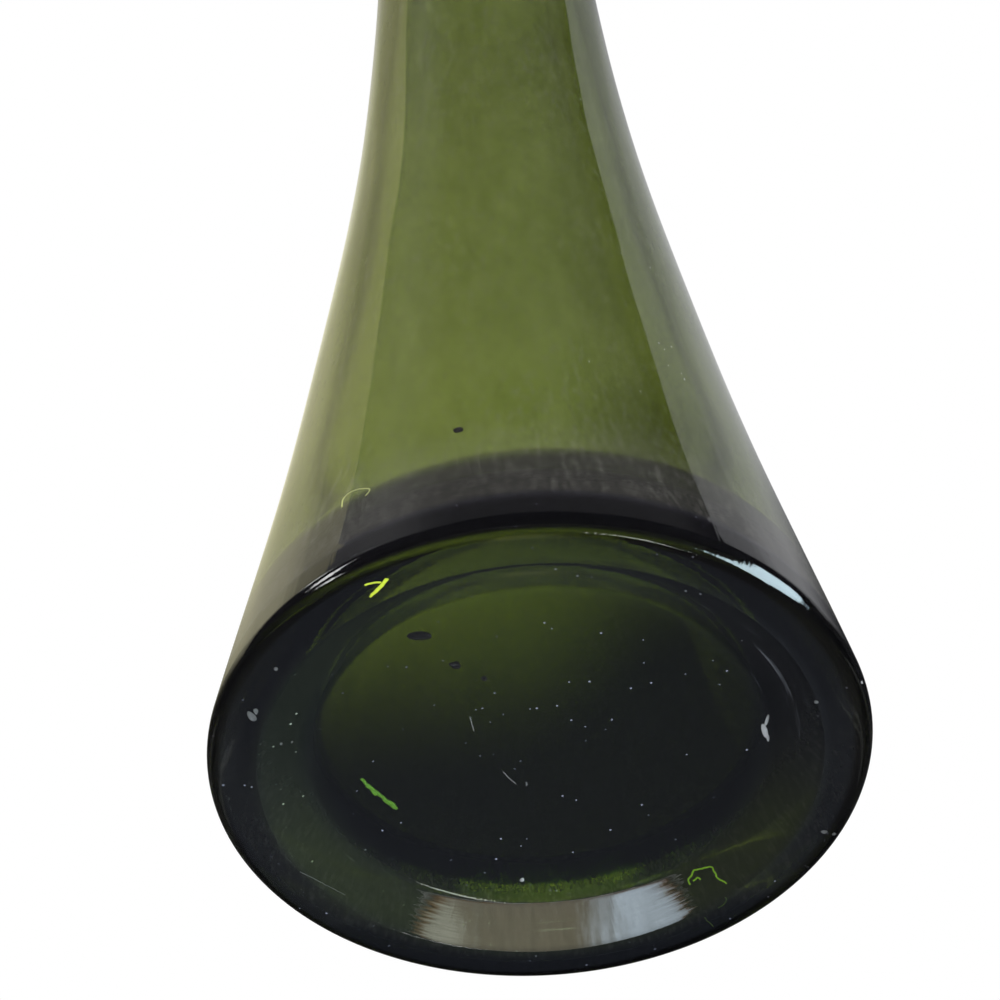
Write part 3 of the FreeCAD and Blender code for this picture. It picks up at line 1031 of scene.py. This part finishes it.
# %% The light of the pale surface, by place
# Where each region of the card starts and is full, or leaves and ends. The heel's shade lies higher to
# the right, by the shade's slant
HEEL_SHADE, SHADE_SIDES, SHADE_SLANT = (40.0 * MM, 105.0 * MM), (-8.0 * MM, 35.0 * MM), 27.0 * MM
FAR_LEFT, FAR_RIGHT = (-60.0 * MM, -36.0 * MM), (36.0 * MM, 60.0 * MM)
LEFT_LOBE, RIGHT_LOBE = (-34.0 * MM, -4.0 * MM), (0.0, 20.0 * MM)
BY_NECK, BY_MOUTH = (165.0 * MM, 225.0 * MM), (232.0 * MM, 262.0 * MM)
LOW_DOWN, LEFT_END = (70.0 * MM, 140.0 * MM), (-120.0 * MM, -60.0 * MM)
OVER_CORNER = (95.0 * MM, 140.0 * MM)
CARD_LEVEL, LEFT_LOBE_GAIN, CARD_LEAST = 0.93, 0.30, 0.03
# The share of the level that each region loses
RIGHT_LOBE_LOSS, NECK_LOSS, MOUTH_LOSS = 0.08, 0.24, 0.16
FAR_LEFT_LOSS, FAR_RIGHT_LOSS, LOW_LEFT_LOSS = 0.36, 0.30, 0.55


def dimmed(level, *regions):
    """A level that loses a share of itself in each region."""
    for region, share in regions:
        level = level * (1.0 - region * share)
    return level


def sideways_regions(t, x):
    """The card's far left and far right, and its brighter lobe left of the middle."""
    return t.fall(x, *FAR_LEFT), t.step(x, *FAR_RIGHT), t.fall(x, *LEFT_LOBE)


def level_by_place(t, x, z, regions):
    """Dark where the heel shades the card, brightest in the left lobe, dimmer at its ends and high up."""
    far_left, far_right, left_lobe = regions
    clear_of_heel = t.step(z - t.step(x, *SHADE_SIDES) * SHADE_SLANT, *HEEL_SHADE)
    right_lobe = t.step(x, *RIGHT_LOBE) * (1.0 - far_right)
    high = t.step(z, *BY_NECK) * NECK_LOSS + t.step(z, *BY_MOUTH) * MOUTH_LOSS
    lobes = left_lobe * LEFT_LOBE_GAIN + CARD_LEVEL - right_lobe * RIGHT_LOBE_LOSS
    level = clear_of_heel * lobes * (1.0 - high)
    low_left = t.fall(z, *LOW_DOWN) * t.fall(x, *LEFT_END)
    level = dimmed(level, (far_left, FAR_LEFT_LOSS), (far_right, FAR_RIGHT_LOSS), (low_left, LOW_LEFT_LOSS))
    return level + CARD_LEAST


print("light of the card by place ready, at least", CARD_LEAST)


# %% [markdown]
# One level for each place isn't enough. The vase bends light so strongly that one spot of the card is
# seen at several places in the picture, and in the photograph they differ, because the real surface
# shone more in some directions than in others. A ray's count of glass faces crossed tells them apart:
# two for the bottom of the card, seen through the bevel and the far wall, four to six for the strips
# along the sides, and eight for the body.

# %% The light of the pale surface, by the way it takes
# The fewest faces that light crosses on its way through the body, through a side strip and to the patch
BODY_FACES, STRIP_FACES, PATCH_FACES = 7, 4, 2
# Sideways limits of the far ends for the body, and of what the outside of the vase mirrors
BODY_ENDS, MIRRORED_ENDS = (45.0 * MM, 60.0 * MM), (100.0 * MM, 150.0 * MM)
STRIP_FOOT, HEEL_MIRRORED = (65.0 * MM, 85.0 * MM), (30.0 * MM, 50.0 * MM)
TWICE_MIRRORED_LEVEL, TWICE_MIRRORED_LEFT = 0.060, 1.2
FAR_ENDS_LOSS, STRIP_FOOT_LOSS, MIRRORED_LOSS, CORNER_LOSS = 0.9, 0.85, 0.18, 0.20


def level_by_way(t, level, x, z, regions, path):
    """Takes the level down or up for rays that come by many, by some or by no glass faces."""
    far_left, far_right, left_lobe = regions
    faces_crossed, reflections = path.out("Transmission Depth"), path.out("Glossy Depth")
    sideways = x.maths("ABSOLUTE")
    through_body = faces_crossed.at_least(BODY_FACES)
    far_ends = t.step(sideways, *BODY_ENDS) * through_body
    through_strip = faces_crossed.at_least(STRIP_FACES) * (1.0 - through_body)
    strip_foot = through_strip * t.fall(z, *STRIP_FOOT)
    mirrored = faces_crossed.fewer_than(1) * t.fall(sideways, *MIRRORED_ENDS)
    level = dimmed(level, (far_ends, FAR_ENDS_LOSS), (strip_foot, STRIP_FOOT_LOSS), (mirrored, MIRRORED_LOSS))
    # The solid foot mirrors the bottom of the card twice, which lifts its dark parts
    twice_mirrored = reflections.at_least(2) * t.fall(z, *HEEL_MIRRORED)
    level = level + twice_mirrored * (left_lobe * TWICE_MIRRORED_LEFT + 1.0) * TWICE_MIRRORED_LEVEL
    over_corner = t.step(z, *OVER_CORNER) * (1.0 - far_left) * (1.0 - far_right)
    return dimmed(level, (over_corner * (1.0 - left_lobe * 0.5), CORNER_LOSS))


print("faces crossed to the body, the strips and the patch:", BODY_FACES, STRIP_FACES, PATCH_FACES)


# %% The bright patch: the bottom of the card, seen through the bevel and the far wall
PATCH_TOP = (40.0 * MM, 50.0 * MM)
PATCH_RIGHT, PATCH_LEFT = (30.0 * MM, 40.0 * MM), (-40.0 * MM, -30.0 * MM)
# Its streaks, in cells in a metre across and up, and how far they push its limits about
PATCH_STREAKS = (900.0, 60.0)
SIDE_RAGGED, TOP_RAGGED = 8.0 * MM, 14.0 * MM
WINDOW_SIDE, PALE_END, FRINGE = (3.0 * MM, 12.0 * MM), (-16.0 * MM, -10.0 * MM), (32.0 * MM, 44.0 * MM)
PATCH_BROWN = (0.215, 0.185, 0.135, 1.0)
PATCH_WINDOW = (0.64, 0.74, 0.86, 1.0)
PATCH_PALE = (0.90, 0.92, 0.78, 1.0)
PATCH_FRINGE = (0.20, 0.08, 0.01, 1.0)


def patch_region(t, x, z, path):
    """Only rays that have crossed clear glass alone, with no reflection, see the patch."""
    faces_crossed = path.out("Transmission Depth")
    clear_only = faces_crossed.fewer_than(STRIP_FACES) * faces_crossed.at_least(PATCH_FACES)
    clear_only = clear_only * path.out("Glossy Depth").fewer_than(1)
    return t.fall(z, *PATCH_TOP) * clear_only * t.fall(x, *PATCH_RIGHT) * t.step(x, *PATCH_LEFT)


def patch_colour(t, x, z):
    """Brown in the middle, blue from the window on the right, pale at the left end, orange along its rim."""
    streaks = drawn_out(t, (x, z), PATCH_STREAKS, 3.0, 0.6)
    ragged_x = x + (streaks - 0.5) * SIDE_RAGGED
    colour = t.mix(t.step(ragged_x, *WINDOW_SIDE), PATCH_BROWN, PATCH_WINDOW)
    colour = t.mix(t.fall(ragged_x, *PALE_END) * 0.7, colour, PATCH_PALE)
    colour = t.mix(t.step(z + (streaks - 0.5) * TOP_RAGGED, *FRINGE), colour, PATCH_FRINGE)
    return t.scaled(colour, streaks * 0.9 + 0.62)


print("the patch shows the card up to", PATCH_TOP[1] / MM, "mm")

# %% The pale surface behind the vase
CARD_SLOPE = 0.0775
CARD_AWAY = 45.2 * MM
CARD_BOTTOM, CARD_TOP, CARD_HALF_WIDTH = -14.0 * MM, 700.0 * MM, 500.0 * MM
CARD_SIDES = (-70.0 * MM, 20.0 * MM)
CARD_WARM, CARD_COOL = (1.0, 0.95, 0.64, 1.0), (0.94, 0.95, 0.98, 1.0)


def make_card_light():
    material, t = new_material("pale_surface")
    x, y, z = t.split(t.object_place())
    path = t.make("ShaderNodeLightPath")
    regions = sideways_regions(t, x)
    level = level_by_way(t, level_by_place(t, x, z, regions), x, z, regions, path)
    shine = t.scaled(t.mix(t.step(x, *CARD_SIDES), CARD_WARM, CARD_COOL), level)
    shine = t.mix(patch_region(t, x, z, path), shine, patch_colour(t, x, z))
    glow = t.make("ShaderNodeEmission", {}, {"Color": shine, "Strength": 1.0})
    clear = t.make("ShaderNodeBsdfTransparent")
    behind = t.make("ShaderNodeNewGeometry").out("Backfacing")
    t.end_material(t.mixed_shader(behind, glow, clear))
    return material


def flat_piece(name, corners, material):
    mesh = bpy.data.meshes.new(name)
    mesh.from_pydata(corners, [], [tuple(range(len(corners)))])
    mesh.materials.append(material)
    piece = object_in_scene(name, mesh)
    return piece


def card_point(x, z):
    return (x, CARD_AWAY - CARD_SLOPE * z, z)


card = flat_piece("pale_surface", [
    card_point(-CARD_HALF_WIDTH, CARD_BOTTOM), card_point(CARD_HALF_WIDTH, CARD_BOTTOM),
    card_point(CARD_HALF_WIDTH, CARD_TOP), card_point(-CARD_HALF_WIDTH, CARD_TOP)], make_card_light())
card.visible_camera = False
card.visible_shadow = False
card.visible_diffuse = False
print("pale surface from z =", CARD_BOTTOM / MM, "mm to", CARD_TOP / MM, "mm")


# %% [markdown]
# The floor is pale and plain. The camera of the photograph is below it, so it shows only its upper face:
# from below it is clear. Under the foot it is left out too, because in the photograph nothing was there,
# and near the vase it isn't mirrored in the glass.

# %% The floor
FLOOR_HALF, FLOOR_LEVEL = 2.0, -0.4 * MM
FLOOR_COLOUR = (0.82, 0.82, 0.82, 1.0)
UNDER_FOOT, UNMIRRORED = (42.5 * MM, 43.0 * MM), (200.0 * MM, 300.0 * MM)


def make_floor_material():
    material, t = new_material("pale_floor")
    geometry = t.make("ShaderNodeNewGeometry")
    x, y, z = t.split(t.object_place())
    from_axis = (x * x + y * y).maths("SQRT")
    under_foot = t.fall(from_axis, *UNDER_FOOT)
    mirrored = t.make("ShaderNodeLightPath").out("Is Glossy Ray") * t.fall(from_axis, *UNMIRRORED)
    hidden = geometry.out("Backfacing").maths("MAXIMUM", under_foot).maths("MAXIMUM", mirrored)
    matte = t.make("ShaderNodeBsdfPrincipled", {}, {"Base Color": FLOOR_COLOUR, "Roughness": 0.9})
    clear = t.make("ShaderNodeBsdfTransparent")
    t.end_material(t.mixed_shader(hidden, matte, clear))
    return material


floor = flat_piece("floor", [
    (-FLOOR_HALF, -FLOOR_HALF, FLOOR_LEVEL), (FLOOR_HALF, -FLOOR_HALF, FLOOR_LEVEL),
    (FLOOR_HALF, FLOOR_HALF, FLOOR_LEVEL), (-FLOOR_HALF, FLOOR_HALF, FLOOR_LEVEL)], make_floor_material())
print("floor at z =", FLOOR_LEVEL / MM, "mm")


# %% [markdown]
# The world is white to the camera and a soft studio light to matte things. Light that goes straight
# through the glass finds it bright, which gives the side views something to show. Light that the glass
# reflects finds a dim room with a window and a few lamps, which make the highlights of the heel. Lights
# in the world are regions of its directions: x to the right, y away from the camera and z up.

# %% The room that the glass mirrors
# Limits of each light in the three parts of a unit direction, and its strength
CEILING_UP, CEILING_DEEP, CEILING_LEVEL = (0.80, 0.88, 0.94, 0.965), (-0.45, -0.41, -0.15, 0.0), 0.08
LEFT_SKY_UP, LEFT_SKY_SIDE, LEFT_SKY_LEVEL = (0.78, 0.88), (-0.42, -0.22), 0.16
FRONT_LAMP_UP, FRONT_LAMP_DEEP, FRONT_LAMP_SIDE = (0.30, 0.50), (-0.05, 0.10), (0.50, 0.80)
FRONT_LAMP_LEVEL = 3.0
BELOW_UP, BELOW_LEVEL = (-0.75, -0.35), 0.08
ROOM_LEVEL = 0.012
# Only light that has zigzagged through the green glass near the foot crosses so many faces
ZIGZAG_FACES = 9


def dim_room(t, direction, light, reflected):
    """A dim ceiling and sky, a lamp in front that only zigzagging light finds, and a faint glow below."""
    x, y, z = direction
    # The ceiling and the left sky show only in reflections
    ceiling = t.band(z, *CEILING_UP) * t.band(y, *CEILING_DEEP) * CEILING_LEVEL
    left_sky = t.step(z, *LEFT_SKY_UP) * t.fall(x, *LEFT_SKY_SIDE) * LEFT_SKY_LEVEL
    zigzag = light.out("Transmission Depth").at_least(ZIGZAG_FACES)
    front_lamp = t.step(z, *FRONT_LAMP_UP) * t.fall(y, *FRONT_LAMP_DEEP)
    front_lamp = front_lamp * t.fall(x.maths("ABSOLUTE"), *FRONT_LAMP_SIDE)
    front_lamp = front_lamp * (1.0 - reflected) * zigzag * FRONT_LAMP_LEVEL
    below = t.fall(z, *BELOW_UP) * BELOW_LEVEL
    return (ceiling + left_sky) * reflected + front_lamp + below + ROOM_LEVEL


# %% The window and the lamps
# The window's upright edges lean, so their limits are on slants: sideways and away, and then up
WINDOW_AWAY, WINDOW_SIDEWAYS = 0.99, 0.139
WINDOW_LEAST, WINDOW_NEAR_LEAN, WINDOW_NEAR = (-0.22, -0.20), 0.30, (-0.31, -0.29)
WINDOW_FAR_LEAN, WINDOW_FAR = 0.25, (0.075, 0.095)
WINDOW_SIDE_LIMITS, WINDOW_BOTTOM, WINDOW_TOP = (0.50, 0.54), (-0.89, -0.87), (0.00, 0.14)
LEFT_LAMP_SIDE, LEFT_LAMP_DEEP = (-0.64, -0.62), (-0.57, -0.56, -0.37, -0.36)
UPPER_PANE_UP, UPPER_PANE_DEEP = (0.15, 0.18, 0.50, 0.54), (-0.51, -0.49)
LOWER_PANE_UP, LOWER_PANE_DEEP = (-0.38, -0.35, -0.15, -0.12), (-0.51, -0.49, -0.43, -0.41)
HIGH_LAMP_SIDE, HIGH_LAMP_DEEP = (-0.55, -0.54), (-0.08, -0.07, -0.01, 0.0)
HIGH_LAMP_UP = (0.74, 0.75, 0.83, 0.84)
FAR_LAMP_SIDE, FAR_LAMP_DEEP = (0.09, 0.10, 0.15, 0.16), (0.34, 0.36, 0.49, 0.50)
FAR_LAMP_UP = (-0.84, -0.83)
WINDOW_LEVEL, LEFT_LAMP_LEVEL, HIGH_LAMP_LEVEL, FAR_LAMP_LEVEL = 16.0, 12.0, 6.0, 9.0


def window_region(t, direction):
    """A tall window to the right, which the heel mirrors as a bright wedge."""
    x, y, z = direction
    slant = y * WINDOW_AWAY + x * WINDOW_SIDEWAYS
    window = t.step(slant, *WINDOW_LEAST) * t.step(slant + z * WINDOW_NEAR_LEAN, *WINDOW_NEAR)
    window = window * t.fall(slant + z * WINDOW_FAR_LEAN, *WINDOW_FAR)
    return window * t.step(x, *WINDOW_SIDE_LIMITS) * t.step(z, *WINDOW_BOTTOM) * t.fall(z, *WINDOW_TOP)


def lamps(t, direction):
    """A lamp to the left with two panes, a small one high above it, and a small one below and behind."""
    x, y, z = direction
    upper_pane = t.band(z, *UPPER_PANE_UP) * t.step(y, *UPPER_PANE_DEEP)
    lower_pane = t.band(z, *LOWER_PANE_UP) * t.band(y, *LOWER_PANE_DEEP)
    left_lamp = t.fall(x, *LEFT_LAMP_SIDE) * t.band(y, *LEFT_LAMP_DEEP) * (upper_pane + lower_pane)
    high_lamp = t.fall(x, *HIGH_LAMP_SIDE) * t.band(y, *HIGH_LAMP_DEEP) * t.band(z, *HIGH_LAMP_UP)
    far_lamp = t.band(x, *FAR_LAMP_SIDE) * t.band(y, *FAR_LAMP_DEEP) * t.fall(z, *FAR_LAMP_UP)
    return left_lamp * LEFT_LAMP_LEVEL + high_lamp * HIGH_LAMP_LEVEL + far_lamp * FAR_LAMP_LEVEL


# %% The world
# Level of the world straight through the glass, and to matte things: its change upwards and its least
STRAIGHT_LEVEL = 0.85
MATTE_UP, MATTE_MORE, MATTE_LEAST = (-0.6, 0.4), 0.5, 0.45
# The window's light is a little blue: this much is missing from its red and its green
WINDOW_RED_LOSS, WINDOW_GREEN_LOSS = 4.8, 1.6


def make_world():
    world = bpy.data.worlds.new("soft_studio")
    world.use_nodes = True
    world.node_tree.nodes.clear()
    t = Tree(world.node_tree)
    direction = t.split(t.make("ShaderNodeTexCoord").out("Generated"))
    light = t.make("ShaderNodeLightPath")
    through_glass, reflections = light.out("Is Transmission Ray"), light.out("Glossy Depth")
    straight_through = reflections.fewer_than(1) * through_glass
    reflected = 1.0 - through_glass
    first_bounce = reflected * reflections.fewer_than(2)
    window = window_region(t, direction)
    windows = (window * WINDOW_LEVEL + lamps(t, direction)) * first_bounce
    room = (1.0 - straight_through) * dim_room(t, direction, light, reflected)
    room = straight_through * STRAIGHT_LEVEL + room + windows
    matte_sees = t.step(direction[2], *MATTE_UP) * MATTE_MORE + MATTE_LEAST
    is_matte = light.out("Is Diffuse Ray")
    level = is_matte * matte_sees + (1.0 - is_matte) * room
    blueness = window * first_bounce * (1.0 - is_matte)
    red, green = level - blueness * WINDOW_RED_LOSS, level - blueness * WINDOW_GREEN_LOSS
    sky = t.make("ShaderNodeCombineColor", {}, {0: red, 1: green, 2: level})
    colour = t.mix(light.out("Is Camera Ray"), sky, (1.0, 1.0, 1.0, 1.0))
    background = t.make("ShaderNodeBackground", {}, {"Color": colour, "Strength": 1.0})
    t.make("ShaderNodeOutputWorld", {}, {"Surface": background})
    return world


bpy.context.scene.world = make_world()
print("world ready: window", WINDOW_LEVEL, "and straight through the glass", STRAIGHT_LEVEL)

# %% [markdown]
# Light passes many glass faces here, so the paths need many bounces, and the view transform is plain.

# %% Light paths and the end
MOST_BOUNCES, GLOSSY_BOUNCES = 32, 24
scene = bpy.context.scene
scene.view_settings.view_transform = "Standard"
scene.cycles.max_bounces = MOST_BOUNCES
scene.cycles.transmission_bounces = MOST_BOUNCES
scene.cycles.glossy_bounces = GLOSSY_BOUNCES
scene.cycles.transparent_max_bounces = MOST_BOUNCES
